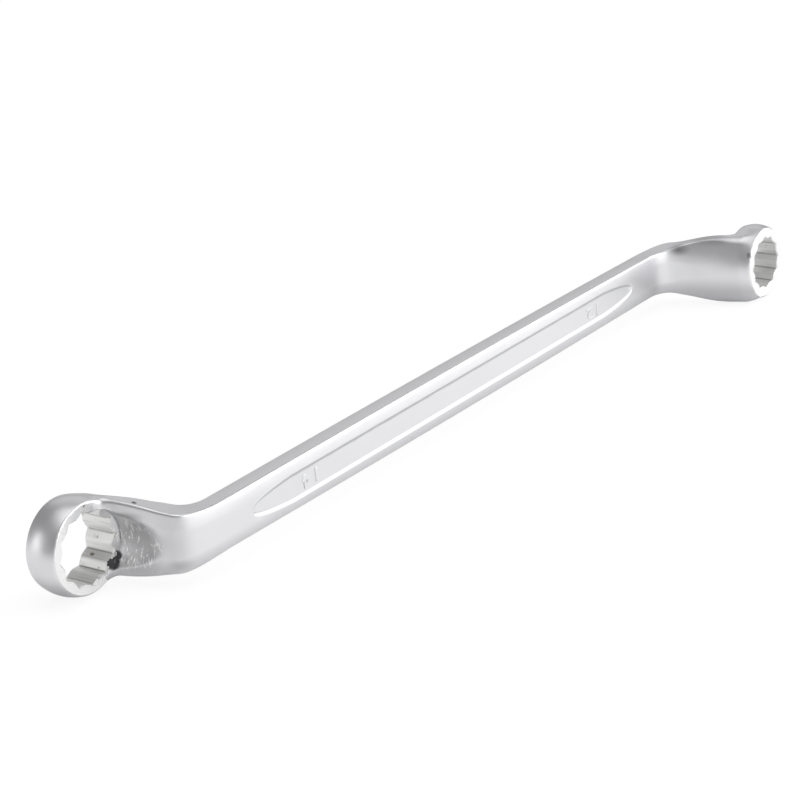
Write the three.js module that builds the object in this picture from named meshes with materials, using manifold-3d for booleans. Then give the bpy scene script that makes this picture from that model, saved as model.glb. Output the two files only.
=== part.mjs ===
// Double-ended deep offset ring spanner, standing on the rims of its two rings.
// Millimetres. X runs along the shank from the large ring to the small ring, Y along the
// socket axes, Z up across the width. The rims touch Z = 0.
import * as THREE from 'three';
import { mergeVertices } from 'three/addons/utils/BufferGeometryUtils.js';
import Module from 'manifold-3d';

// Sockets: nut sizes across flats, and how much wider the socket is
const largeFlats = 14;
const smallFlats = 12;
const flatsClearance = 0.15;
const socketPoints = 12;

// Ring heads
const largeRingDiameter = 21.6;
const smallRingDiameter = 19.8;
const largeRingHeight = 8.2;
const smallRingHeight = 7;
const ringEdgeRadius = 1;
const centreDistance = 218;

// Offset of each ring's middle plane from the shank's middle plane
const largeOffset = 20.8;
const smallOffset = 21.4;

// Cranks: angle in degrees to the shank, and how far the crank's corner lies from the ring's centre
const crankAngle = 74;
const largeCrankReach = 12.7;
const smallCrankReach = 12.7;
const neckThickness = 5.5;
const largeNeckWidth = 16.6;
const smallNeckWidth = 16.6;

// How far out in the ring's wall the neck's root reaches, as a share of the ring's radius
const rootShare = 0.8;

// How far each bend reaches from its corner, along the neck and along the shank
const outerBendNeck = 4.5;
const outerBendShank = 13.2;
const innerBendNeck = 9.3;
const innerBendShank = 9.4;

// The bored relief in the neck stands this far outside the socket's corners
const socketRelief = 0.4;

// Shank, with a sunk panel on each broad face
const shankWidth = 11.8;
const shankThickness = 4.6;
const barEdgeRadius = 1.3;
const panelHeight = 6;
const panelDepth = 0.45;
const panelNose = 14;
const panelNoseFullness = 0.7;
const panelLargeMargin = 5.5;
const panelSmallMargin = 7.5;

// Fineness of the round stretches
const ringSegments = 60;
const ringEdgeSteps = 4;
const barCornerSteps = 3;
const bendSteps = 9;
const neckSteps = 4;
const panelCurveSteps = 10;

// Places that follow from the sizes above
const largeRadius = largeRingDiameter / 2;
const smallRadius = smallRingDiameter / 2;
const overallLength = largeRadius + centreDistance + smallRadius;
const shankY = (smallOffset + smallRingHeight / 2 - largeOffset - largeRingHeight / 2) / 2;
const fallPerLength = (smallRadius - largeRadius) / centreDistance;
const crank = THREE.MathUtils.degToRad(crankAngle);
const reachPast = overallLength;

// heading is +1 at the large end and -1 at the small end, which is turned half a turn about Z
const largeEnd = {
  heading: 1,
  ringX: largeRadius - overallLength / 2,
  radius: largeRadius,
  height: largeRingHeight,
  offset: largeOffset,
  flats: largeFlats + flatsClearance,
  reach: largeCrankReach,
  neckWidth: largeNeckWidth,
};
const smallEnd = {
  heading: -1,
  ringX: overallLength / 2 - smallRadius,
  radius: smallRadius,
  height: smallRingHeight,
  offset: smallOffset,
  flats: smallFlats + flatsClearance,
  reach: smallCrankReach,
  neckWidth: smallNeckWidth,
};

const steel = { color: 0xc6c8cb, roughness: 0.36, metalness: 1 };
const groundSteel = { color: 0xd4d5d7, roughness: 0.28, metalness: 1 };

const wasm = await Module();
wasm.setup();

function solidOf(geometry) {
  const bare = geometry.clone();
  bare.deleteAttribute('normal');
  bare.deleteAttribute('uv');
  const merged = mergeVertices(bare);
  return new wasm.Manifold(
    new wasm.Mesh({
      numProp: 3,
      vertProperties: merged.attributes.position.array,
      triVerts: new Uint32Array(merged.index.array),
    }),
  );
}

function meshOf(name, solid, look) {
  const { vertProperties, triVerts } = solid.getMesh();
  const geometry = new THREE.BufferGeometry();
  geometry.setAttribute('position', new THREE.BufferAttribute(vertProperties, 3));
  geometry.setIndex(new THREE.BufferAttribute(triVerts, 1));
  geometry.computeVertexNormals();
  const mesh = new THREE.Mesh(geometry, new THREE.MeshStandardMaterial(look));
  mesh.name = name;
  return mesh;
}

// The bar's middle line falls from the large ring's centre height to the small ring's
const settle = new THREE.Matrix4().set(
  1, 0, 0, 0,
  0, 1, 0, shankY,
  fallPerLength, 0, 1, largeRadius - fallPerLength * largeEnd.ringX,
  0, 0, 0, 1,
);

// A closed solid through equal loops of points, each convex, with flat ends
function loft(loops) {
  const count = loops[0].length;
  const indices = [];
  for (let i = 0; i + 1 < loops.length; i += 1) {
    for (let j = 0; j < count; j += 1) {
      const here = i * count + j;
      const beside = i * count + ((j + 1) % count);
      indices.push(here, beside, beside + count);
      indices.push(here, beside + count, here + count);
    }
  }
  const last = (loops.length - 1) * count;
  for (let j = 1; j + 1 < count; j += 1) {
    indices.push(0, j + 1, j);
    indices.push(last, last + j, last + j + 1);
  }
  const geometry = new THREE.BufferGeometry();
  geometry.setFromPoints(loops.flat());
  geometry.setIndex(indices);
  return geometry.applyMatrix4(settle);
}

// Rounded rectangle across the bar, from a point on its outer face to one on its inner face
function barLoop(outer, inner, halfWidth) {
  const middle = outer.clone().add(inner).multiplyScalar(0.5);
  const across = inner.clone().sub(outer).normalize();
  const halfThickness = outer.distanceTo(inner) / 2;
  const loop = [];
  for (let quarter = 0; quarter < 4; quarter += 1) {
    const sideA = quarter === 0 || quarter === 3 ? 1 : -1;
    const sideB = quarter < 2 ? 1 : -1;
    for (let step = 0; step <= barCornerSteps; step += 1) {
      const turn = ((quarter + step / barCornerSteps) * Math.PI) / 2;
      const a = sideA * (halfThickness - barEdgeRadius) + barEdgeRadius * Math.cos(turn);
      const b = sideB * (halfWidth - barEdgeRadius) + barEdgeRadius * Math.sin(turn);
      loop.push(new THREE.Vector3(middle.x + a * across.x, middle.y + a * across.y, b));
    }
  }
  return loop;
}

// One face of a crank in plan, from inside the ring to the shank, in the end's own directions:
// x from the ring's centre towards the shank, y from the shank's middle plane towards the ring.
// side is -1 for the outer, convex face and +1 for the inner face.
function crankFace(end, side) {
  const along = new THREE.Vector2(Math.cos(crank), -Math.sin(crank));
  const neckShift = (side * neckThickness) / 2;
  const shankShift = (side * shankThickness) / 2;
  const run = (neckShift * Math.cos(crank) - shankShift) / Math.sin(crank);
  const corner = new THREE.Vector2(
    end.reach + neckShift * Math.sin(crank) + run * Math.cos(crank),
    shankShift,
  );
  const neckReach = side < 0 ? outerBendNeck : innerBendNeck;
  const shankReach = side < 0 ? outerBendShank : innerBendShank;
  const root = corner.clone().addScaledVector(along, (shankShift - end.offset) / Math.sin(crank));
  const bendStart = corner.clone().addScaledVector(along, -neckReach);
  const bendEnd = new THREE.Vector2(corner.x + shankReach, shankShift);
  const neck = new THREE.LineCurve(root, bendStart).getPoints(neckSteps);
  const bend = new THREE.QuadraticBezierCurve(bendStart, corner, bendEnd).getPoints(bendSteps);
  return [...neck, ...bend.slice(1)];
}

// Where the crank ends and the straight shank starts, from the ring's centre
function shankStart(end) {
  return Math.max(crankFace(end, -1).at(-1).x, crankFace(end, 1).at(-1).x);
}

// From an end's own directions to the spanner's
function placed(end, point) {
  return new THREE.Vector2(end.ringX + end.heading * point.x, end.heading * point.y);
}

function neckFaceY(end) {
  return end.offset - end.height / 2;
}

// The bent bar of one end, widening towards its ring and ending inside the ring's wall
function crankBar(end) {
  const outer = crankFace(end, -1);
  const inner = crankFace(end, 1);
  const startX = shankStart(end);
  inner[0].x = Math.min(inner[0].x, rootShare * end.radius);
  const rootHalf = Math.sqrt(end.radius ** 2 - inner[0].x ** 2) - barEdgeRadius / 2;
  outer.push(new THREE.Vector2(startX, -shankThickness / 2));
  inner.push(new THREE.Vector2(startX, shankThickness / 2));
  const loops = outer.map((point, i) => {
    const depth = (point.y + inner[i].y) / 2;
    const share = THREE.MathUtils.clamp(depth / neckFaceY(end), 0, 1);
    const flare = (end.neckWidth - shankWidth) * Math.sin((share * Math.PI) / 2);
    const halfWidth = i === 0 ? rootHalf : (shankWidth + flare) / 2;
    return barLoop(placed(end, point), placed(end, inner[i]), halfWidth);
  });
  return solidOf(loft(loops));
}

// Everything beyond a plane square to Y, on the ring's side of it or on the shank's side
function halfSpace(end, towardsRing) {
  const side = towardsRing ? end.heading : -end.heading;
  const block = new THREE.BoxGeometry(2 * reachPast, reachPast, 2 * reachPast);
  return solidOf(block.translate(0, shankY + end.heading * neckFaceY(end) + (side * reachPast) / 2, 0));
}

function ringY(end) {
  return shankY + end.heading * end.offset;
}

function ringBarrel(end) {
  const flat = end.radius - ringEdgeRadius;
  const straight = end.height / 2 - ringEdgeRadius;
  const profile = [new THREE.Vector2(0, -end.height / 2)];
  for (const side of [-1, 1]) {
    for (let i = 0; i <= ringEdgeSteps; i += 1) {
      const turn = ((side < 0 ? i - ringEdgeSteps : i) / ringEdgeSteps) * (Math.PI / 2);
      const r = flat + ringEdgeRadius * Math.cos(turn);
      profile.push(new THREE.Vector2(r, side * straight + ringEdgeRadius * Math.sin(turn)));
    }
  }
  profile.push(new THREE.Vector2(0, end.height / 2));
  const barrel = new THREE.LatheGeometry(profile, ringSegments);
  return solidOf(barrel.translate(end.ringX, ringY(end), end.radius));
}

function cornerRadius(end) {
  return end.flats / 2 / Math.cos(Math.PI / 6);
}

// Two hexagons, one turned between the corners of the other, so a star of twelve corners
function socketCut(end) {
  const points = [];
  const halfStep = Math.PI / socketPoints;
  for (let i = 0; i < 2 * socketPoints; i += 1) {
    const r = i % 2 === 0 ? cornerRadius(end) : end.flats / 2 / Math.cos(halfStep);
    const turn = i * halfStep;
    points.push(new THREE.Vector2(r * Math.cos(turn), r * Math.sin(turn)));
  }
  const depth = 2 * end.height;
  const cut = new THREE.ExtrudeGeometry(new THREE.Shape(points), { depth, bevelEnabled: false });
  cut.translate(0, 0, -depth / 2).rotateX(Math.PI / 2);
  return solidOf(cut.translate(end.ringX, ringY(end), end.radius));
}

// The round relief that clears the socket's tool through the neck, down to the ring's face
function reliefCut(end) {
  const length = neckFaceY(end) + shankThickness;
  const radius = cornerRadius(end) + socketRelief;
  const cut = new THREE.CylinderGeometry(radius, radius, length, ringSegments);
  const y = shankY + end.heading * (neckFaceY(end) - length / 2);
  return solidOf(cut.translate(end.ringX, y, end.radius));
}

function makeRing(end, name) {
  const root = crankBar(end).intersect(halfSpace(end, true));
  return meshOf(name, ringBarrel(end).add(root).subtract(socketCut(end)), groundSteel);
}

function makeCrank(end, name) {
  const bar = crankBar(end).intersect(halfSpace(end, false));
  return meshOf(name, bar.subtract(reliefCut(end)), steel);
}

// Outline of the sunk panel, level with the table: straight sides and long pointed ends
function panelShape(length) {
  const half = panelHeight / 2;
  const tip = length / 2;
  const lean = panelNoseFullness * half;
  const shape = new THREE.Shape();
  shape.moveTo(-tip, 0);
  shape.quadraticCurveTo(-tip, -lean, panelNose - tip, -half);
  shape.lineTo(tip - panelNose, -half);
  shape.quadraticCurveTo(tip, -lean, tip, 0);
  shape.quadraticCurveTo(tip, lean, tip - panelNose, half);
  shape.lineTo(panelNose - tip, half);
  shape.quadraticCurveTo(-tip, lean, -tip, 0);
  return shape;
}

function makeShank() {
  const fromX = largeEnd.ringX + shankStart(largeEnd);
  const toX = smallEnd.ringX - shankStart(smallEnd);
  const loops = [fromX, toX].map((x) =>
    barLoop(
      new THREE.Vector2(x, -shankThickness / 2),
      new THREE.Vector2(x, shankThickness / 2),
      shankWidth / 2,
    ),
  );
  let bar = solidOf(loft(loops));
  const panelFrom = fromX + panelLargeMargin;
  const panelTo = toX - panelSmallMargin;
  for (const side of [-1, 1]) {
    const cut = new THREE.ExtrudeGeometry(panelShape(panelTo - panelFrom), {
      depth: shankThickness,
      bevelEnabled: false,
      curveSegments: panelCurveSteps,
    });
    cut.translate((panelFrom + panelTo) / 2, 0, -shankThickness / 2).rotateX(Math.PI / 2);
    cut.translate(0, shankY + side * (shankThickness - panelDepth), (largeRadius + smallRadius) / 2);
    bar = bar.subtract(solidOf(cut));
  }
  return meshOf('shank', bar, steel);
}

const spanner = new THREE.Group();
spanner.name = 'ring_spanner';
spanner.add(
  makeRing(largeEnd, 'large_ring'),
  makeCrank(largeEnd, 'large_crank'),
  makeShank(),
  makeCrank(smallEnd, 'small_crank'),
  makeRing(smallEnd, 'small_ring'),
);

export default spanner;
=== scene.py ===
import math
import bpy
import numpy as np
from mathutils import Matrix, Vector


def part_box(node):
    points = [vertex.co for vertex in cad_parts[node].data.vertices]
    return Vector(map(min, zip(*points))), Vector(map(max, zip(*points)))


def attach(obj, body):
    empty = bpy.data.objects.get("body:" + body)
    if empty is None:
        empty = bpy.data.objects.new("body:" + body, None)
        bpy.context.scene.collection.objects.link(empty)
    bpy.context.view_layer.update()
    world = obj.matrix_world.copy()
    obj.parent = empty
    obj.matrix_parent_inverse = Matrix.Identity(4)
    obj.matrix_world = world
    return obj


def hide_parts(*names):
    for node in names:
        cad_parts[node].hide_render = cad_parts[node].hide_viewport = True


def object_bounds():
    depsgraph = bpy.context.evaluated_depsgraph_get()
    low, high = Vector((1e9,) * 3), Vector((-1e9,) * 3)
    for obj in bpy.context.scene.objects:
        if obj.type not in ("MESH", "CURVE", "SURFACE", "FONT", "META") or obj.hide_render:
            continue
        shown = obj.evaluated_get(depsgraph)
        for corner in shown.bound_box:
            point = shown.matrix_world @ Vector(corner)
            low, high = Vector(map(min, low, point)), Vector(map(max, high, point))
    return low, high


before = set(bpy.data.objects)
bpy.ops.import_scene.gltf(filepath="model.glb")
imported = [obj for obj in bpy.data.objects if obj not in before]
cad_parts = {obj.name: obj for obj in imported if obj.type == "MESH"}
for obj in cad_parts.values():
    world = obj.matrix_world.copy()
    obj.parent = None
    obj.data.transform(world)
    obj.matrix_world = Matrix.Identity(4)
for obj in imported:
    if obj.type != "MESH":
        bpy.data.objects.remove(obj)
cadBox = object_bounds()
mm = 0.001
print("frame loaded:", sorted(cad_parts))


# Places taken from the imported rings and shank, in millimetres

def nodeBox(name):
    low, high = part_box(name)
    return np.array(low) / mm, np.array(high) / mm


bigLow, bigHigh = nodeBox("large_ring")
littleLow, littleHigh = nodeBox("small_ring")
barLow, barHigh = nodeBox("shank")

bigHead = {
    "name": "large_head", "nodes": ("large_ring", "large_crank"), "heading": 1,
    "flats": 14.15,                  # across the socket's flats, with clearance
    "radius": (bigHigh[2] - bigLow[2]) / 2,
    "height": bigHigh[1] - bigLow[1],
    "offset": (bigHigh[1] + bigLow[1]) / 2,
    "neckWide": 17.4, "flare": 1.0,  # width at the ring, and how late the neck widens
    "sag": (0.35, -0.2),             # how low the neck hangs on its way and at the ring
    "seam": barLow[0],
}
bigHead["ringX"] = bigLow[0] + bigHead["radius"]
littleHead = {
    "name": "small_head", "nodes": ("small_ring", "small_crank"), "heading": -1,
    "flats": 12.15,
    "radius": (littleHigh[2] - littleLow[2]) / 2,
    "height": littleHigh[1] - littleLow[1],
    "offset": -(littleHigh[1] + littleLow[1]) / 2,
    "neckWide": 18.0, "flare": 1.7,
    "sag": (0.1, 0.5),
    "seam": barHigh[0],
}
littleHead["ringX"] = littleHigh[0] - littleHead["radius"]


def middleZ(x):  # the bar's middle line falls evenly from one ring's centre height to the other's
    share = (x - bigHead["ringX"]) / (littleHead["ringX"] - bigHead["ringX"])
    return bigHead["radius"] + share * (littleHead["radius"] - bigHead["radius"])


# The forged bar and heads

barShape = {
    "thick": 5.4, "wide": 11.9, "angle": 74.0, "reach": 12.7, "neckThick": 5.6,
    "outerBend": (4.5, 13.2), "innerBend": (7.6, 6.8),  # along the neck, along the shank
    "waist": 0.33, "waistFade": 8,                      # narrower at the bends, fading up the neck
    # edge radius, crown, where the crown starts, its first slope
    "shankFace": (0.5, 0.42, 0.47, 0.5),
    "outerNeck": (0.7, 0.42, 0.47, 0.5),
    "innerNeck": (0.6, 2.1, 0.0, 0.0),
}
headShape = {
    "cell": 0.24, "creaseAngle": 26.0,
    # bulge of the ring's wall, its edge radius, how much of that is ground off, its last round
    "barrel": 0.8, "ringEdge": 0.7, "overgrind": 0.15, "faceRound": 0.03,
    "fillet": 4.5, "freeFillet": 1.5,  # from ring to neck, at the neck side and at the free face
    "swell": 1.0, "swellRun": 6.0,     # growth of the inner edges into the ring
    "tuckIn": 1.5, "tuckSide": 0.17,   # how the neck draws in towards the free face
    # drilled clearance, eased away from the ring
    "relief": 0.6, "reliefStop": 0.8, "reliefRound": 0.02, "reliefEase": 0.5, "reliefRun": 9.0,
    "mouth": 0.25, "cone": 0.55, "coneTilt": 0.25, "coneStart": 2.0,  # chamfer and lead-in cone
    "cornerRound": 0.15, "toothRound": 0.25,                          # of the socket's points
    "margins": (0.75, 0.87, 0.79),  # grid room at the sides, outside the bar, past the free face
    # how near a face lies to a machined surface to take its finish
    "nearFace": 0.06, "nearSocket": 0.07, "nearCone": 0.05, "rim": 0.02, "level": 0.9,
}
search = {  # how closely surfaces are looked for
    "bendTries": 25, "bendSteps": 4, "cutSteps": 4,
    "tiny": 1e-9, "slopeStep": 0.004,
    "weakest": 0.06, "room": 0.1,  # least pull on a cell's point, and how far it may leave the cell
    "shortEdge": 1e-4, "spread": 3,
    "seamFade": 0.5, "seamRim": 0.3, "leastLevel": 0.1,
}


def smoothStep(share):  # three times the square less twice the cube
    return share * share * (3 - 2 * share)


def smoothMin(a, b, width):  # lower of two distances, eased into a fillet
    share = np.clip(0.5 + 0.5 * (b - a) / width, 0, 1)
    return b + (a - b) * share - width * share * (1 - share)


def roundedCorner(a, b, radius):  # distance to a corner of two faces, rounded to a radius
    a, b = a + radius, b + radius
    return np.hypot(np.maximum(a, 0), np.maximum(b, 0)) + np.minimum(np.maximum(a, b), 0) - radius


def crownFall(z, wide, crown, start, slope):
    # how far a broad face falls towards its edges: none before the start, then a parabola
    share = np.clip((np.abs(z) / wide - start) / (1 - start), 0, 1)
    return crown * share * (slope + (1 - slope) * share)


def crankFace(side):  # one face in plan: neck line, quadratic bend, shank line
    angle = math.radians(barShape["angle"])
    neck, shank = side * barShape["neckThick"] / 2, side * barShape["thick"] / 2
    run = (neck * math.cos(angle) - shank) / math.sin(angle)
    cornerX = barShape["reach"] + neck * math.sin(angle) + run * math.cos(angle)
    corner = np.array([cornerX, shank])
    alongNeck, alongShank = barShape["outerBend"] if side < 0 else barShape["innerBend"]
    start = corner - alongNeck * np.array([math.cos(angle), -math.sin(angle)])
    return start, corner, corner + np.array([alongShank, 0])


outerFace, innerFace = crankFace(-1), crankFace(1)
middleFace = tuple((a + b) / 2 for a, b in zip(outerFace, innerFace))


def besideFace(points, face):
    # signed gap to the face, plus on its left, and the nearest point on it
    start, corner, stop = face
    bend, lead = start - 2 * corner + stop, 2 * (corner - start)
    tries = np.linspace(0, 1, search["bendTries"])[:, None]
    onBend = bend * tries ** 2 + lead * tries + start
    t = tries[((points[:, None] - onBend[None]) ** 2).sum(2).argmin(1)]
    for _ in range(search["bendSteps"]):  # Newton steps to the foot of the perpendicular
        off, slope = bend * t ** 2 + lead * t + start - points, 2 * bend * t + lead
        rate = (slope * slope).sum(1, keepdims=True) + (off * 2 * bend).sum(1, keepdims=True)
        rate = np.where(np.abs(rate) > search["tiny"], rate, 1)
        t = np.clip(t - (off * slope).sum(1, keepdims=True) / rate, 0, 1)
    neckWay = (start - corner) / np.linalg.norm(start - corner)
    shankWay = np.array([1.0, 0.0])
    upNeck = np.maximum((points - start) @ neckWay, 0)[:, None]
    downShank = np.maximum(points[:, :1] - stop[0], 0)
    feet = np.stack([bend * t ** 2 + lead * t + start,
                     start + upNeck * neckWay, stop + downShank * shankWay])
    ways = np.stack([2 * bend * t + lead, np.broadcast_to(-neckWay, points.shape),
                     np.broadcast_to(shankWay, points.shape)])
    pick = ((feet - points) ** 2).sum(2).argmin(0)
    rows = np.arange(len(points))
    foot, way = feet[pick, rows], ways[pick, rows]
    way = way / np.linalg.norm(way, axis=1, keepdims=True)
    off = points - foot
    return way[:, 0] * off[:, 1] - way[:, 1] * off[:, 0], foot


def barHalf(x):  # half width of the shank: a parabola, narrowest at the bends
    along = (2 * x - barLow[0] - barHigh[0]) / (barHigh[0] - barLow[0])
    return barShape["wide"] / 2 - barShape["waist"] * along ** 2


def barPlan(head, points):
    # plan gaps to both faces of the bent bar, half width, eased share of the neck, how low it hangs
    outer, _ = besideFace(points, outerFace)
    inner, _ = besideFace(points, innerFace)
    _, foot = besideFace(points, middleFace)
    share = np.clip(foot[:, 1] / (head["offset"] - head["height"] / 2), 0, 1)
    flare = np.sin(share * math.pi / 2) ** head["flare"]
    wide = (barShape["wide"] / 2 - barShape["waist"] * (1 - share) ** barShape["waistFade"]
            + (head["neckWide"] - barShape["wide"]) / 2 * flare)
    onWay, atRing = head["sag"]
    sag = onWay * np.sin(np.sqrt(share) * math.pi) + atRing * share ** 2
    return -outer, inner, wide, smoothStep(share), sag


def socketGap(u, z, flats):  # two hexagons, one turned between the other's corners
    corner, hexes = headShape["cornerRound"], []
    for first in (0, 30):
        turns = [math.radians(first + k) for k in (0, 60, 120)]
        sides = [-np.abs(u * math.cos(t) + z * math.sin(t)) for t in turns]
        inside = smoothMin(smoothMin(sides[0], sides[1], corner), sides[2], corner)
        hexes.append(-inside - flats / 2)
    return smoothMin(hexes[0], hexes[1], headShape["toothRound"])


def headZones(head, u, v, z):
    # gaps to the machined surfaces: neck-side face, free face, relief, socket, lead-in cone
    h = headShape
    nearSide, freeSide = head["offset"] - head["height"] / 2, head["offset"] + head["height"] / 2
    corner = head["flats"] / 2 / math.cos(math.pi / 6)
    stop = nearSide - h["reliefStop"]
    fromAxis = np.hypot(u, z)
    relief = np.maximum(fromAxis - corner - h["relief"], v - stop)
    mouth = h["mouth"]
    flare = np.clip(mouth - (freeSide - v), 0, mouth) + np.clip(mouth - (v - nearSide), 0, mouth)
    socket = socketGap(u, z, head["flats"]) - flare
    lean = h["coneTilt"] * np.maximum(h["coneStart"] - u, 0)  # the drill leans towards the neck
    cone = (fromAxis - corner - h["cone"] + v - stop + lean) / math.sqrt(2)
    return nearSide - v, v - freeSide, relief, socket, np.maximum(cone, stop - v)


def headGap(head, u, v, z, plan):
    # forged ring and bar joined with a fillet, then ground, bored and broached
    h = headShape
    outer, inner, wide, share, sag = plan
    nearSide, freeSide, relief, socket, cone = headZones(head, u, v, z)
    halfHigh = head["height"] / 2
    swell = smoothStep(np.clip((h["swellRun"] - nearSide) / (h["swellRun"] + halfHigh), 0, 1))
    tuck = np.clip((v - head["offset"]) / halfHigh, 0, 1) ** 2
    inner = inner + h["tuckIn"] * tuck  # the neck keeps inside the ring's free face
    wide = wide * (1 - h["tuckSide"] * tuck)
    faces, edges = [], []
    for gap, neck, rounder in ((outer, "outerNeck", 0), (inner, "innerNeck", h["swell"])):
        edge, *crown = [a + (b - a) * share for a, b in zip(barShape["shankFace"], barShape[neck])]
        gap = gap + crownFall(z + sag, wide, *crown)
        edge = edge + rounder * swell  # the inner edges grow rounder into the ring
        faces.append(gap)
        edges.append(roundedCorner(gap, np.abs(z + sag) - wide, edge))
    bar = np.maximum(edges[0], edges[1])
    belly = h["barrel"] * (2 * (v - head["offset"]) / head["height"]) ** 2
    wall = np.hypot(u, z) - head["radius"] + belly
    # behind the neck the ring dies away, in front of it the ring ends at its face
    behind = roundedCorner(wall, freeSide - h["overgrind"], h["ringEdge"])
    front = np.maximum(behind, roundedCorner(wall, nearSide - h["overgrind"], h["ringEdge"]))
    front = roundedCorner(front, nearSide, h["faceRound"])
    ring = behind + (front - behind) * np.clip(1 + faces[0] / barShape["neckThick"], 0, 1)
    body = smoothMin(ring, bar, h["fillet"] + (h["freeFillet"] - h["fillet"]) * swell)
    run = np.clip(nearSide / h["reliefRun"], 0, 1)
    body = -smoothMin(-body, relief, h["reliefRound"] + h["reliefEase"] * smoothStep(run))
    body = np.maximum(np.maximum(body, freeSide), np.maximum(-cone, -socket))
    return np.maximum(body, u - abs(head["seam"] - head["ringX"]))


def offZero(a, b):  # keeps a gap just off zero, on its own side of the other
    return np.where(np.abs(a) < search["tiny"], np.sign(a - b) * search["tiny"], a)


def cutsOf(gapAt, gridGap, axes):  # where the grid's lines cross the zero of a gap, one set an axis
    signs = gridGap < 0
    crossings = []
    for axis in range(3):
        low, high = [slice(None)] * 3, [slice(None)] * 3
        low[axis], high[axis] = slice(None, -1), slice(1, None)
        at = np.argwhere(signs[tuple(low)] != signs[tuple(high)])
        step = np.eye(3, dtype=int)[axis]
        a, b = [np.stack([axes[k][i[:, k]] for k in range(3)], 1) for i in (at, at + step)]
        ga, gb = [gridGap[tuple(i.T)] for i in (at, at + step)]
        for _ in range(search["cutSteps"]):  # false position to the crossing
            p = a + (b - a) * (ga / (ga - gb))[:, None]
            g = gapAt(p)
            left = (g < 0) == (ga < 0)
            a, ga = np.where(left[:, None], p, a), np.where(left, g, ga)
            b, gb = np.where(left[:, None], b, p), np.where(left, gb, g)
            ga, gb = offZero(ga, gb), offZero(gb, ga)
        crossings.append((at, p, signs[tuple(at.T)]))
    return crossings


def skinOf(gapAt, gridGap, axes):
    # quads round the zero of a gap: one point a cell, where its planes meet, so edges stay sharp
    crossings = cutsOf(gapAt, gridGap, axes)
    shape = np.array(gridGap.shape) - 1
    points = np.concatenate([p for _, p, _ in crossings])
    steps = search["slopeStep"] * np.eye(3)
    slope = np.stack([gapAt(points + e) - gapAt(points - e) for e in steps], 1)
    slope /= np.linalg.norm(slope, axis=1, keepdims=True)
    cells, quads = [], []
    for axis, (at, _, inside) in enumerate(crossings):
        b, c = (axis + 1) % 3, (axis + 2) % 3
        ring = []
        for db, dc in ((-1, -1), (0, -1), (0, 0), (-1, 0)):
            cell = at.copy()
            cell[:, b] += db
            cell[:, c] += dc
            ring.append(np.ravel_multi_index(cell.T, shape))
        ring = np.stack(ring, 1)
        cells.append(ring)
        quads.append(np.where(inside[:, None], ring, ring[:, ::-1]))
    owner = np.concatenate(cells)
    used, slot = np.unique(owner, return_inverse=True)
    slot = slot.reshape(owner.shape)

    def perCell(values):
        return np.bincount(slot.ravel(), np.repeat(values, 4), len(used))

    count = perCell(np.ones(len(points)))
    middle = np.stack([perCell(points[:, k]) for k in range(3)], 1) / count[:, None]
    away = (slope * points).sum(1)
    square = [[perCell(slope[:, i] * slope[:, j]) for j in range(3)] for i in range(3)]
    square = np.stack(square).transpose(2, 0, 1)
    pull = np.stack([perCell(slope[:, i] * away) for i in range(3)], 1)
    pull = pull - (square @ middle[:, :, None])[:, :, 0]
    size, turn = np.linalg.eigh(square)
    strong = size > search["weakest"] * size[:, -1:]
    keep = np.where(strong, 1 / np.maximum(size, search["tiny"]), 0)
    move = (turn @ (keep[:, :, None] * (turn.transpose(0, 2, 1) @ pull[:, :, None])))[:, :, 0]
    corner = np.stack(np.unravel_index(used, shape), 1)
    lows = np.stack([axes[k][corner[:, k]] for k in range(3)], 1)
    highs = np.stack([axes[k][corner[:, k] + 1] for k in range(3)], 1)
    room = search["room"] * (highs - lows)
    points = np.clip(middle + move, lows - room, highs + room)
    return points, np.searchsorted(used, np.concatenate(quads))


def addBend(mesh):
    # two attributes: mean curvature per millimetre, plus on worn edges and minus in hollows,
    # and how far a face looks down
    count = len(mesh.vertices)
    points, normals = np.empty(count * 3), np.empty(count * 3)
    mesh.vertices.foreach_get("co", points)
    mesh.vertex_normals.foreach_get("vector", normals)
    points, normals = points.reshape(-1, 3) / mm, normals.reshape(-1, 3)
    pairs = np.empty(len(mesh.edges) * 2, np.int32)
    mesh.edges.foreach_get("vertices", pairs)
    a, b = pairs.reshape(-1, 2).T
    step = points[a] - points[b]
    length = np.maximum((step * step).sum(1), search["shortEdge"])
    bend = ((normals[a] - normals[b]) * step).sum(1) / length
    links = np.maximum(np.bincount(a, minlength=count) + np.bincount(b, minlength=count), 1)
    for _ in range(search["spread"]):  # spread a little along the edges
        mean = (np.bincount(a, bend, count) + np.bincount(b, bend, count)) / links
        bend = (mean[a] + mean[b]) / 2
    fromSeam = np.minimum(np.abs(points[:, 0] - barLow[0]), np.abs(points[:, 0] - barHigh[0]))
    mean *= np.clip(fromSeam - search["seamFade"], 0, 1)  # the seams are only cuts in one forging
    # the cut ends turn their rim normals aside
    level = np.where(fromSeam < search["seamRim"], np.hypot(normals[:, 1], normals[:, 2]), 1)
    under = np.maximum(-normals[:, 2] / np.maximum(level, search["leastLevel"]), 0)
    for name, values in (("bend", mean), ("under", under)):
        made = mesh.attributes.new(name, "FLOAT", "POINT")
        made.data.foreach_set("value", values.astype(np.float32))


def newObject(name, data):
    made = bpy.data.objects.new(name, data)
    bpy.context.scene.collection.objects.link(made)
    return made


def meshPiece(name, points, faces, slots, materials, crease):
    mesh = bpy.data.meshes.new(name)
    mesh.from_pydata((points * mm).tolist(), [], faces)
    for material in materials:
        mesh.materials.append(material)
    mesh.polygons.foreach_set("material_index", np.asarray(slots, np.int32))
    mesh.polygons.foreach_set("use_smooth", np.ones(len(mesh.polygons), bool))
    mesh.set_sharp_from_angle(angle=math.radians(crease))
    mesh.update()
    addBend(mesh)
    return newObject(name, mesh)


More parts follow.
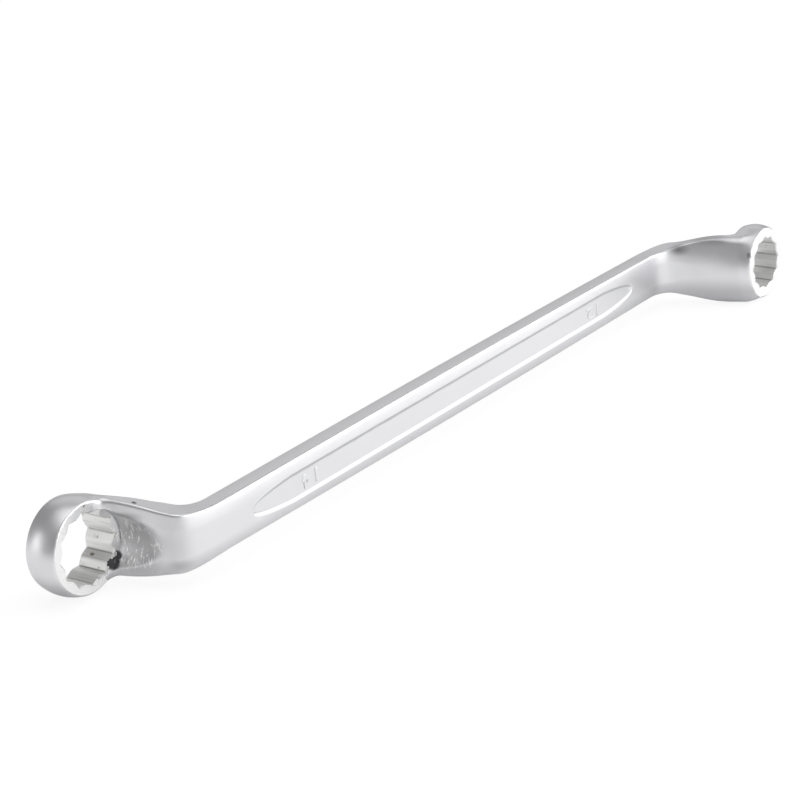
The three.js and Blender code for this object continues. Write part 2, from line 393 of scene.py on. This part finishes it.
def makeHead(head, materials):
    h = headShape
    radius, seam = head["radius"], abs(head["seam"] - head["ringX"])
    side, outside, past = h["margins"]
    spans = ((-radius - side, seam + side),
             (-barShape["thick"] / 2 - outside, head["offset"] + head["height"] / 2 + past),
             (-radius - side, radius + side))
    axes = [np.linspace(a, b, int((b - a) / h["cell"]) + 1) for a, b in spans]
    u, v, z = np.meshgrid(*axes, indexing="ij", sparse=True)
    flat = np.stack(np.broadcast_arrays(u[:, :, 0], v[:, :, 0]), -1).reshape(-1, 2)
    plan = [part.reshape(len(axes[0]), len(axes[1]), 1) for part in barPlan(head, flat)]

    def gapAt(p):
        return headGap(head, p[:, 0], p[:, 1], p[:, 2], barPlan(head, p[:, :2]))

    points, faces = skinOf(gapAt, headGap(head, u, v, z, plan), axes)
    corners = points[faces]
    across = np.cross(corners[:, 2] - corners[:, 0], corners[:, 3] - corners[:, 1])
    level = np.abs(across[:, 1]) / np.linalg.norm(across, axis=1) > h["level"]
    nearSide, freeSide, _, socket, cone = headZones(head, *corners.mean(1).T)
    inRing = nearSide < h["reliefStop"] - h["rim"]
    onFace = np.minimum(np.abs(nearSide), np.abs(freeSide)) < h["nearFace"]
    onSocket = (np.abs(socket) < h["nearSocket"]) & (freeSide < -h["rim"])
    onCone = (np.abs(cone) < h["nearCone"]) & (np.abs(socket) > h["nearCone"])
    slots = np.zeros(len(faces), int)  # 0 forged, 1 ground faces, 2 socket, 3 lead-in cone
    slots[onFace & level] = 1
    slots[onSocket & inRing] = 2
    slots[onCone & inRing] = 3
    x = head["ringX"] + head["heading"] * points[:, 0]
    placed = np.stack([x, head["heading"] * points[:, 1], middleZ(x) + points[:, 2]], 1)
    placed = np.clip(placed, np.array(cadBox[0]) / mm, np.array(cadBox[1]) / mm)
    piece = meshPiece(head["name"], placed, faces.tolist(), slots, materials, h["creaseAngle"])
    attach(piece, "root")
    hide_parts(*head["nodes"])
    print(head["name"], "faces:", len(faces))


# The straight shank with a sunk panel on each broad face

panelShape = {
    "half": 3.0, "depth": 0.45, "creaseAngle": 40.0,
    "slope": ((0.4, 0.12), (0.2, 0.2)),  # how far the lower and upper walls reach in and out
    "leastIn": 0.3, "mostOut": 2,        # their limits as shares of the half height
    "nose": 14.0, "fullness": 0.7, "tipHalf": 0.16, "tipFade": 1.2, "tipCrowd": 1.5,
    "bigMargin": 5.5, "littleMargin": 7.5,
    "longStep": 2.0, "noseStep": 0.35, "endRows": 8,
    "wallRows": 7, "floorRows": 13, "borderRows": 6, "edgeRows": 7,
}
panelTips = barLow[0] + panelShape["bigMargin"], barHigh[0] - panelShape["littleMargin"]


def panelHalf(x):
    # half height of the panel along the shank, parabola noses and straight between,
    # and the share of its depth
    p = panelShape
    inside = np.minimum(x - panelTips[0], panelTips[1] - x)
    t = np.sqrt(np.clip(inside / p["nose"], 0, 1))
    half = p["half"] * (2 * t * (1 - t) * p["fullness"] + t * t)
    return np.maximum(half, p["tipHalf"]), np.clip(inside / p["tipFade"], 0, 1)


def shankRows():  # places along the shank, closer at the panel's blunt tips
    p = panelShape
    first, last = panelTips
    curve = np.linspace(0, 1, int(p["nose"] / p["noseStep"])) ** p["tipCrowd"] * p["nose"]
    middle = np.arange(first + p["nose"] + p["longStep"],
                       last - p["nose"] - p["longStep"] / 2, p["longStep"])
    return np.concatenate([
        np.linspace(barLow[0], first, p["endRows"])[:-1], first + curve, middle,
        last - curve[::-1], np.linspace(last, barHigh[0], p["endRows"])[1:]])


def makeShank(materials):
    # rings of points round the bar: two crowned faces, each with a sunk panel, and four round edges
    p, thick = panelShape, barShape["thick"]
    x = shankRows()
    half, sunk = [part[:, None] for part in panelHalf(x)]
    edge, *crown = barShape["shankFace"]
    wide = barHalf(x)[:, None]
    flat = wide - edge
    barZ = middleZ(x)[:, None]
    # the panel runs level while the bar falls
    level = (bigHead["radius"] + littleHead["radius"]) / 2 - barZ
    rise = np.linspace(0, 1, p["wallRows"])
    floor = np.linspace(-1, 1, p["floorRows"])[1:-1]
    border = np.linspace(0, 1, p["borderRows"])
    turn = np.linspace(0, math.pi / 2, p["edgeRows"])[1:]
    (lowIn, lowOut), (topIn, topOut) = [
        (np.maximum(half - into, half * p["leastIn"]), half + np.minimum(past, half * p["mostOut"]))
        for into, past in p["slope"]]
    top = level + topOut + (flat - level - topOut) * border
    bottom = level - lowOut - (flat + level - lowOut) * border
    faceZ = np.concatenate([
        bottom[:, ::-1], level - lowOut + (lowOut - lowIn) * rise[1:],
        level - lowIn + (lowIn + topIn) * (floor + 1) / 2,
        level + topIn + (topOut - topIn) * rise[:-1], top], 1)
    off = faceZ - level
    onTop, onLow = (off - topIn) / (topOut - topIn), (-off - lowIn) / (lowOut - lowIn)
    across = np.clip(np.where(off > 0, onTop, onLow), 0, 1)
    depth = p["depth"] * sunk * (1 - smoothStep(across))
    faceY = thick / 2 - crownFall(faceZ, wide, *crown) - depth
    roundZ = flat + edge * np.sin(turn)
    roundY = thick / 2 - edge + edge * np.cos(turn) - crownFall(roundZ, wide, *crown)
    faceBack, roundBack = faceY[:, ::-1], roundY[:, ::-1]
    ringY = np.concatenate([-faceY, -roundY, roundBack, faceBack, roundY, -roundBack], 1)
    ringZ = np.concatenate([faceZ, roundZ, roundZ[:, ::-1],
                            faceZ[:, ::-1], -roundZ, -roundZ[:, ::-1]], 1)
    rows, columns = ringY.shape
    ringX = np.broadcast_to(x[:, None], ringY.shape)
    points = np.stack([ringX, ringY, ringZ + barZ], -1).reshape(-1, 3)
    i, j = np.meshgrid(np.arange(rows - 1), np.arange(columns), indexing="ij")
    a, c = i * columns + j, i * columns + (j + 1) % columns
    faces = np.stack([a, a + columns, c + columns, c], -1).reshape(-1, 4).tolist()
    faces.append(list(range(columns)))
    faces.append(list(range((rows - 1) * columns, rows * columns))[::-1])
    slots = np.zeros(len(faces), int)
    piece = meshPiece("shank_bar", points, faces, slots, materials[:1], p["creaseAngle"])
    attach(piece, "root")
    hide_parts("shank")
    print("shank_bar faces:", len(faces))


# Finishes

class Wire:  # a socket that takes part in Python sums, each adding a Math node
    def __init__(self, tree, socket=None):
        self.tree, self.socket = tree, socket

    def node(self, kind, settings=None, inputs=None, out=0):
        made = self.tree.nodes.new(kind)
        for key, value in (settings or {}).items():
            setattr(made, key, value)
        for key, value in (inputs or {}).items():
            if isinstance(value, Wire):
                self.tree.links.new(value.socket, made.inputs[key])
            else:
                made.inputs[key].default_value = value
        return Wire(self.tree, made.outputs[out] if made.outputs else None)

    def sum(self, operation, a, b):
        return self.node("ShaderNodeMath", {"operation": operation}, {0: a, 1: b})

    def vector(self, operation, inputs, out=0):
        inputs = dict(enumerate(inputs))
        return self.node("ShaderNodeVectorMath", {"operation": operation}, inputs, out)

    def __add__(self, other):
        return self.sum("ADD", self, other)

    __radd__ = __add__

    def __sub__(self, other):
        return self.sum("SUBTRACT", self, other)

    def __rsub__(self, other):
        return self.sum("SUBTRACT", other, self)

    def __mul__(self, other):
        return self.sum("MULTIPLY", self, other)

    __rmul__ = __mul__


def newFinish(name):
    material = bpy.data.materials.new(name)
    material.use_nodes = True
    material.node_tree.nodes.clear()
    return material, Wire(material.node_tree)


def objectPlace(wire):
    return wire.node("ShaderNodeTexCoord", {}, {}, "Object")


def attributeOf(wire, name):
    return wire.node("ShaderNodeAttribute", {"attribute_name": name}, {}, "Fac")


def noiseOf(wire, place, scale=1.0, detail=3.0, stretch=None):
    if stretch:
        place = wire.vector("MULTIPLY", (place, stretch))
    return wire.node("ShaderNodeTexNoise", {}, {"Vector": place, "Scale": scale, "Detail": detail})


def ease(wire, value, low, high):  # 0 at low, 1 at high, smooth between
    return wire.node("ShaderNodeMapRange", {"interpolation_type": "SMOOTHSTEP"},
                     {"Value": value, "From Min": low, "From Max": high})


def blend(wire, share, a, b):
    return wire.node("ShaderNodeMix", {"data_type": "RGBA"}, {0: share, 6: a, 7: b}, 2)


def spot(wire, place, centre, size, core):  # 1 in the core of an ellipsoid, fading to 0 at its skin
    off = wire.vector("SUBTRACT", (place, [c * mm for c in centre]))
    off = wire.vector("DIVIDE", (off, [s * mm for s in size]))
    return ease(wire, wire.vector("LENGTH", (off,), "Value"), 1.0, core)


def roundPlace(wire, place, head):  # place as radius, turn and depth about a socket's axis
    off = wire.vector("SUBTRACT", (place, (head["ringX"] * mm, 0, head["radius"] * mm)))
    x, y, z = [wire.node("ShaderNodeSeparateXYZ", {}, {0: off}, k) for k in range(3)]
    radius = wire.node("ShaderNodeMath", {"operation": "SQRT"}, {0: x * x + z * z})
    return wire.node("ShaderNodeCombineXYZ", {}, {0: radius, 1: wire.sum("ARCTAN2", z, x), 2: y})


def finishMetal(wire, colour, roughness, relief):  # the relief is in millimetres
    normal = wire.node("ShaderNodeBump", {}, {"Height": relief, "Strength": 1.0, "Distance": mm})
    shader = wire.node("ShaderNodeBsdfPrincipled", {}, {
        "Base Color": colour, "Metallic": 1.0, "Roughness": roughness, "Normal": normal})
    wire.node("ShaderNodeOutputMaterial", {}, {"Surface": shader})


# dark colours and marks: rust specks, a chip and smudges on the tool, and painted shade in the big
# ring's notch and pocket and on faces that look down
dirtAndShade = {
    "soilAndShadeColour": (0.05, 0.05, 0.055, 1), "rust": (0.22, 0.17, 0.08, 1),
    "notchShade": [  # centre, size, strength, core: painted shade in the dark notch between the big ring and its neck
        ((-101.4, 16.3, 6.3), (1.6, 2.0, 1.5), 0.95, 0.5),
        ((-102.0, 16.4, 5.6), (1.6, 2.0, 1.5), 0.95, 0.6),
        ((-102.6, 16.4, 5.0), (1.9, 2.1, 1.7), 0.95, 0.6),
    ],
    "stainsAndShade": [  # the same: a painted shade haze about the notch, a chip on the top edge, painted shade along the big pocket's top edge and over the small neck's top-edge highlight, and dull marks on both necks, partly smudges and partly painted shade
        ((-101.5, 13.8, 6.4), (2.2, 3.6, 3.6), 0.46, 0.0),
        ((-100.1, 10.4, 18.6), (0.7, 1.1, 0.6), 0.95, 0.45),
        ((-98.4, 1.2, 6.0), (3.4, 4.4, 1.9), 0.22, 0.1),
        ((-101.6, 11.8, 16.2), (2.2, 6.2, 1.5), 0.4, 0.1),
        ((-98.9, 2.2, 10.4), (4.6, 7.4, 8.5), 0.15, 0.0),
        ((95.5, -6.8, 15.7), (3.2, 4.0, 2.2), 0.66, 0.0),
        ((99.4, -14.0, 18.4), (4.2, 10.5, 2.4), 0.3, 0.3),
        ((101.3, -24.4, 14.2), (0.8, 1.1, 1.4), 0.6, 0.2),
        ((97.5, -12.0, 16.0), (0.7, 1.0, 0.5), 0.3, 0.2),
    ],
    "specks": [  # centre and size of single rust specks
        ((-101.1, 21.8, 9.6), 0.6), ((-102.6, 22.1, 6.0), 0.6), ((-101.5, 23.9, 14.4), 0.5),
        ((-108.0, 16.7, 20.2), 0.5), ((-104.4, 19.0, 4.2), 0.4),
    ],
    "speckCore": 0.2,
}
satinChrome = {  # pairs are from where to where a share eases in
    "plate": (0.738, 0.738, 0.754, 1), "roughness": 0.4,
    "grain": 1700.0, "grainDepth": 0.004, "wave": 85.0, "waveDepth": 0.09,
    "mottle": 300.0, "mottleRough": 0.12,
    "worn": (0.84, 0.84, 0.84, 1), "wearBend": (0.3, 0.9), "wearPatchy": 0.5,
    "wearShare": 0.6, "wearPolish": 0.06,
    "hollowBend": (0.15, 0.7), "hollowPatchy": 0.4, "hollowHeight": (7.0, 11.0), "hollowDark": 0.35,
    "soilAndShadeRough": 0.2,
    "undersideShade": 0.3, "underTurn": (0.0, 0.12), "underHeight": (9.0, 3.8),
    "scored": (0.92, 0.92, 0.92, 1),
    # the scored pocket by the big ring: bright scratch lines, and painted shade darkening it
    "scoreCentre": (-100.6, 11.0, 9.6), "scoreSize": (4.8, 9.5, 7.8), "scoreCore": 0.35,
    "scoreRuns": [(500.0, 4.0, 2400.0), (900.0, 7.0, 1500.0)],
    "scoreLines": (0.56, 0.66), "scorePatches": (0.4, 0.54), "scoreShade": 0.33,
    "scorePolish": 0.12, "scoreDepth": 0.03, "scoreMottle": 0.05, "scoreGrain": 0.006,
}


def satinFinish(look):
    material, wire = newFinish("satin_chrome")
    place = objectPlace(wire)
    grain = noiseOf(wire, place, look["grain"])
    mottle = noiseOf(wire, place, look["mottle"], detail=5.0)
    wave = noiseOf(wire, place, look["wave"], detail=1.0)
    patchy = mottle - 0.5  # noise lies about a half
    bend = attributeOf(wire, "bend")
    height = wire.node("ShaderNodeSeparateXYZ", {}, {0: place}, 2) * (1 / mm)
    wear = ease(wire, bend + patchy * look["wearPatchy"], *look["wearBend"])
    # hollows are darkened, fading out between 11 and 7 mm above the table
    hollow = ease(wire, bend * -1 + patchy * look["hollowPatchy"], *look["hollowBend"])
    hollow = hollow * ease(wire, height, *look["hollowHeight"])
    # painted shade: faces that look down are darkened, more so near the table, for the shadow under
    # the bar
    under = ease(wire, attributeOf(wire, "under"), *look["underTurn"])
    under = under * ease(wire, height, *look["underHeight"])
    scored = spot(wire, place, look["scoreCentre"], look["scoreSize"], look["scoreCore"])
    # darkening: in hollows, painted shade over the big neck's pocket and in the notch, and the
    # stains, some of them painted shade
    soilAndShade = hollow * look["hollowDark"] + scored * look["scoreShade"]
    for centre, size, strength, core in dirtAndShade["notchShade"] + dirtAndShade["stainsAndShade"]:
        soilAndShade = wire.sum("MAXIMUM", soilAndShade, spot(wire, place, centre, size, core) * strength)
    aboutRing = roundPlace(wire, place, bigHead)  # cutter scores run round the big socket's axis
    runs = [noiseOf(wire, aboutRing, detail=2.0, stretch=stretch) for stretch in look["scoreRuns"]]
    lines = sum(ease(wire, run, *look["scoreLines"]) for run in runs)
    lines = wire.sum("MINIMUM", lines, 1.0) * ease(wire, mottle, *look["scorePatches"]) * scored
    colour = blend(wire, wear * look["wearShare"], look["plate"], look["worn"])
    # painted shade on downward faces near the table
    colour = blend(wire, under * look["undersideShade"], colour, dirtAndShade["soilAndShadeColour"])
    colour = blend(wire, soilAndShade, colour, dirtAndShade["soilAndShadeColour"])
    colour = blend(wire, lines, colour, look["scored"])
    roughness = (look["roughness"] + patchy * look["mottleRough"] - wear * look["wearPolish"]
                 + soilAndShade * look["soilAndShadeRough"] - lines * look["scorePolish"])
    relief = (grain * look["grainDepth"] + wave * look["waveDepth"] + lines * look["scoreDepth"]
              + scored * (mottle * look["scoreMottle"] + grain * look["scoreGrain"]))
    finishMetal(wire, colour, roughness, relief)
    return material


groundSteel = {
    "steel": (0.93, 0.93, 0.93, 1), "roughness": 0.26,
    "lines": (260.0, 40.0, 2600.0), "lineDepth": 0.004, "lineRough": 0.07,
    "mottle": 420.0, "mottleDepth": 0.003,
    "dull": (0.78, 0.78, 0.78, 1), "dullPatches": (0.58, 0.75), "dullShare": 0.2, "dullRough": 0.1,
    "edgeBend": (0.4, 1.2), "edgePolish": 0.08, "speckPatches": (0.35, 0.6),
}


def groundFinish(look):
    material, wire = newFinish("ground_face")
    place = objectPlace(wire)
    lines = noiseOf(wire, place, detail=4.0, stretch=look["lines"])
    mottle = noiseOf(wire, place, look["mottle"], detail=4.0)
    edge = ease(wire, attributeOf(wire, "bend"), *look["edgeBend"])
    dull = ease(wire, mottle, *look["dullPatches"]) * look["dullShare"]
    colour = blend(wire, dull, look["steel"], look["dull"])
    # painted shade in the notch between the big ring and its neck, on the ground face too
    for centre, size, strength, core in dirtAndShade["notchShade"]:
        notchShaded = spot(wire, place, centre, size, core) * strength
        colour = blend(wire, notchShaded, colour, dirtAndShade["soilAndShadeColour"])
    patches = ease(wire, lines, *look["speckPatches"])
    for centre, size in dirtAndShade["specks"]:
        speck = spot(wire, place, centre, [size] * 3, dirtAndShade["speckCore"])
        colour = blend(wire, speck * patches, colour, dirtAndShade["rust"])
    roughness = (look["roughness"] + (lines - 0.5) * look["lineRough"] + dull * look["dullRough"]
                 - edge * look["edgePolish"])
    relief = lines * look["lineDepth"] + mottle * look["mottleDepth"]
    finishMetal(wire, colour, roughness, relief)
    return material


broachedSteel = {
    "steel": (0.85, 0.85, 0.84, 1), "roughness": 0.5,
    "streaks": (1700.0, 90.0, 1700.0), "streakDepth": 0.012, "streakRough": 0.2,
    "mottle": 520.0, "mottleDepth": 0.01,
    "streakAndValleyDark": (0.3, 0.3, 0.3, 1), "valleyBend": (0.25, 1.1), "valleyDark": 0.7,
    "streakPatches": (0.55, 0.75), "streakOil": 0.25,
    "freckles": 900.0, "freckleCut": (0.66, 0.74), "frecklePatches": (0.5, 0.62),
    "freckleShare": 0.8,
    "speckLong": 1.6, "speckPatches": (0.35, 0.55), "speckShare": 0.85, "rustRough": 0.3,
}


def broachedFinish(look):
    material, wire = newFinish("broached_socket")
    place = objectPlace(wire)
    streaks = noiseOf(wire, place, stretch=look["streaks"])
    mottle = noiseOf(wire, place, look["mottle"], detail=4.0)
    freckles = noiseOf(wire, place, look["freckles"], detail=2.0)
    valley = ease(wire, attributeOf(wire, "bend") * -1, *look["valleyBend"])
    rust = ease(wire, freckles, *look["freckleCut"]) * ease(wire, mottle, *look["frecklePatches"])
    rust = rust * look["freckleShare"]
    patches = ease(wire, freckles, *look["speckPatches"])
    for centre, size in dirtAndShade["specks"]:
        speck = spot(wire, place, centre, [size, size * look["speckLong"], size], dirtAndShade["speckCore"])
        rust = wire.sum("MAXIMUM", rust, speck * patches * look["speckShare"])
    streaky = ease(wire, streaks, *look["streakPatches"])
    # darker in the socket's valleys and along some broach streaks
    streakAndValleyDark = valley * look["valleyDark"] + streaky * look["streakOil"]
    colour = blend(wire, streakAndValleyDark, look["steel"], look["streakAndValleyDark"])
    colour = blend(wire, rust, colour, dirtAndShade["rust"])
    roughness = look["roughness"] + (streaks - 0.5) * look["streakRough"] + rust * look["rustRough"]
    relief = streaks * look["streakDepth"] + mottle * look["mottleDepth"]
    finishMetal(wire, colour, roughness, relief)
    return material


finishes = [satinFinish(satinChrome), groundFinish(groundSteel), broachedFinish(broachedSteel)]
finishes.append(finishes[0])  # the lead-in cone is plated like the forging
print("finishes made:", sorted({f.name for f in finishes}))

makeHead(bigHead, finishes)
makeHead(littleHead, finishes)
makeShank(finishes)


# Raised size numbers on the floor of the front panel, read from above the bar

sizeMarks = {
    "high": 3.0, "wide": 1.45, "proud": 0.12, "bevel": 0.1, "space": 1.15,
    "digitShare": 0.7,  # a digit's height as a share of the type size
    "bevelSteps": 2, "curveSteps": 8,
    "marks": [("14", -57.9, 10.3), ("12", 59.2, 10.0)],
}


def makeMarks(material):
    s = sizeMarks
    for words, x, z in s["marks"]:
        text = bpy.data.curves.new("number", "FONT")
        text.body, text.size = words, s["high"] / s["digitShare"] * mm
        text.align_x, text.align_y = "CENTER", "CENTER"
        text.extrude, text.bevel_depth = s["proud"] / 2 * mm, s["bevel"] * mm
        text.bevel_resolution, text.resolution_u = s["bevelSteps"], s["curveSteps"]
        text.space_character = s["space"]
        shown = newObject("number", text)
        ready = shown.evaluated_get(bpy.context.evaluated_depsgraph_get())
        mesh = bpy.data.meshes.new_from_object(ready)
        bpy.data.objects.remove(shown)
        upright = Matrix.Rotation(math.radians(90), 4, "X")
        turn = Matrix.Rotation(math.radians(180), 4, "Y") @ upright
        floorY = (panelShape["depth"] - barShape["thick"] / 2) * mm
        place = Matrix.Translation((x * mm, floorY, z * mm))
        mesh.transform(place @ turn @ Matrix.Diagonal((s["wide"], 1, 1, 1)))
        mesh.materials.clear()
        mesh.materials.append(material)
        piece = newObject("size_mark_" + words, mesh)
        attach(piece, "root")
        print(piece.name, "faces:", len(mesh.polygons))


makeMarks(finishes[0])


# Camera at the photographed angle

cameraShape = {
    "focal": 2336.37, "picture": 800, "sensor": 36,  # focal length and picture width in pixels
    "yaw": 52.09, "pitch": 20.47, "roll": -5.52,
    "shift": (0.71, -3.6, 536.51),  # where the aim lies from the camera: right, up, ahead
    "middle": 21.11,                # the aim's place on the bar, towards the large ring
    "clip": (0.01, 100),
}


def makeCamera():
    c = cameraShape
    yaw, pitch, roll = [math.radians(c[k]) for k in ("yaw", "pitch", "roll")]
    out, down = math.cos(pitch), -math.sin(pitch)
    ahead = np.array([math.sin(yaw) * out, math.cos(yaw) * out, down])
    level = np.array([math.cos(yaw), -math.sin(yaw), 0])
    over = np.cross(level, ahead)
    right = math.cos(roll) * level + math.sin(roll) * over
    up = math.cos(roll) * over - math.sin(roll) * level
    axes = np.stack([right, up, -ahead], 1)
    place = -(np.stack([right, up, ahead]).T @ np.array(c["shift"])) - [c["middle"], 0, 0]
    # the angles are about the bar's middle line, which falls a little towards the small ring
    drop, run = bigHead["radius"] - littleHead["radius"], littleHead["ringX"] - bigHead["ringX"]
    fall = math.atan2(drop, run)
    cosine, sine = math.cos(fall), math.sin(fall)
    tip = np.array([[cosine, 0, sine], [0, 1, 0], [-sine, 0, cosine]])
    centreX, centreZ = [(bigHead[k] + littleHead[k]) / 2 for k in ("ringX", "radius")]
    data = bpy.data.cameras.new("camera")
    data.sensor_width = c["sensor"]
    data.lens = c["sensor"] * c["focal"] / c["picture"]
    data.clip_start, data.clip_end = c["clip"]
    camera = newObject("camera", data)
    turned = Matrix((tip @ axes).tolist()).to_4x4()
    turned.translation = Vector(((tip @ place + [centreX, 0, centreZ]) * mm).tolist())
    camera.matrix_world = turned
    bpy.context.scene.camera = camera


makeCamera()


# Floor and light

studio = {
    "table": (0.85, 0.85, 0.85, 1), "tableHalf": 60.0,
    "room": 0.3, "behind": 1.0,                        # light all round, and what the camera sees
    "toCamera": (0.2, 0.86), "toMetal": (0.95, 0.22),  # share that takes shadow, share that glows
    # name, compass angle from the bar's axis, height angle, distance, width, height, brightness
    "boxes": [
        ("window_box", -56.0, 20.0, 1.4, 3.0, 1.5, 2.0),
        ("back_box", 40.0, 32.0, 1.6, 1.5, 0.9, 0.5),
        ("side_box", 136.0, 12.0, 1.4, 0.55, 0.7, 1.5),
        ("top_box", 218.0, 86.0, 1.5, 1.3, 1.3, 1.1),
    ],
}


def makeFloor():
    mesh = bpy.data.meshes.new("table")
    far = studio["tableHalf"]
    corners = [(-far, -far, 0), (far, -far, 0), (far, far, 0), (-far, far, 0)]
    mesh.from_pydata(corners, [], [(0, 1, 2, 3)])
    table = newObject("table", mesh)
    material, wire = newFinish("table_white")
    rays = ("Is Camera Ray", "Is Glossy Ray", "Is Transmission Ray")
    camera, glossy, through = [wire.node("ShaderNodeLightPath", {}, {}, ray) for ray in rays]
    metal = wire.sum("MAXIMUM", glossy, through)
    surface = wire.node("ShaderNodeBsdfDiffuse", {}, {"Color": studio["table"]})
    for seen, (shade, white) in ((camera, studio["toCamera"]), (metal, studio["toMetal"])):
        shaded = wire.node("ShaderNodeBsdfDiffuse", {}, {"Color": (shade, shade, shade, 1)})
        glow = wire.node("ShaderNodeEmission", {}, {"Strength": white})
        both = wire.node("ShaderNodeAddShader", {}, {0: shaded, 1: glow})
        surface = wire.node("ShaderNodeMixShader", {}, {0: seen, 1: surface, 2: both})
    wire.node("ShaderNodeOutputMaterial", {}, {"Surface": surface})
    mesh.materials.append(material)


def makeLight():
    world = bpy.data.worlds.new("studio")
    bpy.context.scene.world = world
    world.use_nodes = True
    world.node_tree.nodes.clear()
    wire, white = Wire(world.node_tree), (1, 1, 1, 1)
    room, behind = [wire.node("ShaderNodeBackground", {}, {"Color": white, "Strength": bright})
                    for bright in (studio["room"], studio["behind"])]
    seen = wire.node("ShaderNodeLightPath", {}, {}, "Is Camera Ray")
    both = wire.node("ShaderNodeMixShader", {}, {0: seen, 1: room, 2: behind})
    wire.node("ShaderNodeOutputWorld", {}, {"Surface": both})
    for name, compass, height, distance, wide, tall, bright in studio["boxes"]:
        data = bpy.data.lights.new(name, "AREA")
        data.shape, data.size, data.size_y = "RECTANGLE", wide, tall
        data.energy = bright * math.pi * wide * tall
        lamp = newObject(name, data)
        a, h = math.radians(compass), math.radians(height)
        way = Vector((math.cos(a) * math.cos(h), math.sin(a) * math.cos(h), math.sin(h)))
        facing = way.to_track_quat("Z", "Y").to_matrix().to_4x4()
        lamp.matrix_world = Matrix.Translation(way * distance) @ facing


makeFloor()
makeLight()
bpy.context.scene.view_settings.view_transform = "Standard"
print("camera, table and light placed")
